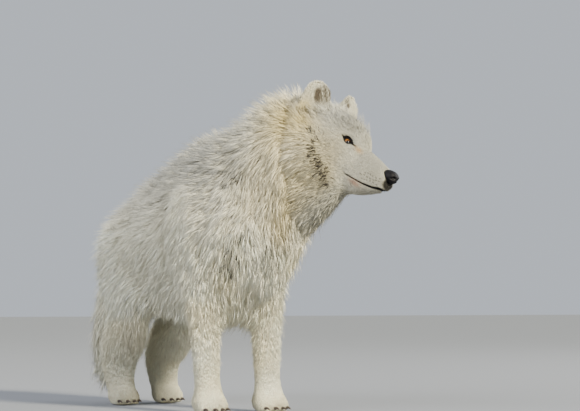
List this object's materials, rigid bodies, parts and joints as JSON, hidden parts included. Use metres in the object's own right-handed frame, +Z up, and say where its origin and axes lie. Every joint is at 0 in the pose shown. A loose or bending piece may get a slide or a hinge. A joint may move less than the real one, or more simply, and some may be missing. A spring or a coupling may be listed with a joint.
{
  "type": "arctic wolf figure",
  "caption": "Life-size arctic wolf in a full winter coat, standing still on all fours with its head turned to its left and its tail hanging.",
  "frame": {"origin": "centre of the bounding box's base, on the floor between the four feet", "axes": "+Z up, the body faces -Y, +X is the wolf's left, the side its head turns to"},
  "size_m": [0.4006, 1.0298, 0.7502],
  "materials": {
    "coat": "dense creamy white winter fur, yellower on neck, chest and legs",
    "nose_leather": "black, finely pebbled and moist",
    "eye_glass": "dark amber iris under a clear glossy cornea",
    "claw_horn": "dark horn, satin"
  },
  "bodies": {
    "root": {"trunk": "coat", "neck": "coat", "head": "coat", "lower_jaw": "coat", "nose": "nose_leather", "eye_right": "eye_glass", "eye_left": "eye_glass", "ear_right": "coat", "ear_left": "coat", "tail": "coat", "foreleg_upper_right": "coat", "foreleg_lower_right": "coat", "forepaw_right": "coat", "hindleg_upper_right": "coat", "hindleg_lower_right": "coat", "hindpaw_right": "coat", "forepaw_claw_right_1": "claw_horn", "forepaw_claw_right_2": "claw_horn", "forepaw_claw_right_3": "claw_horn", "forepaw_claw_right_4": "claw_horn", "hindpaw_claw_right_1": "claw_horn", "hindpaw_claw_right_2": "claw_horn", "hindpaw_claw_right_3": "claw_horn", "hindpaw_claw_right_4": "claw_horn", "foreleg_upper_left": "coat", "foreleg_lower_left": "coat", "forepaw_left": "coat", "hindleg_upper_left": "coat", "hindleg_lower_left": "coat", "hindpaw_left": "coat", "forepaw_claw_left_1": "claw_horn", "forepaw_claw_left_2": "claw_horn", "forepaw_claw_left_3": "claw_horn", "forepaw_claw_left_4": "claw_horn", "hindpaw_claw_left_1": "claw_horn", "hindpaw_claw_left_2": "claw_horn", "hindpaw_claw_left_3": "claw_horn", "hindpaw_claw_left_4": "claw_horn"}
  },
  "joints": []
}
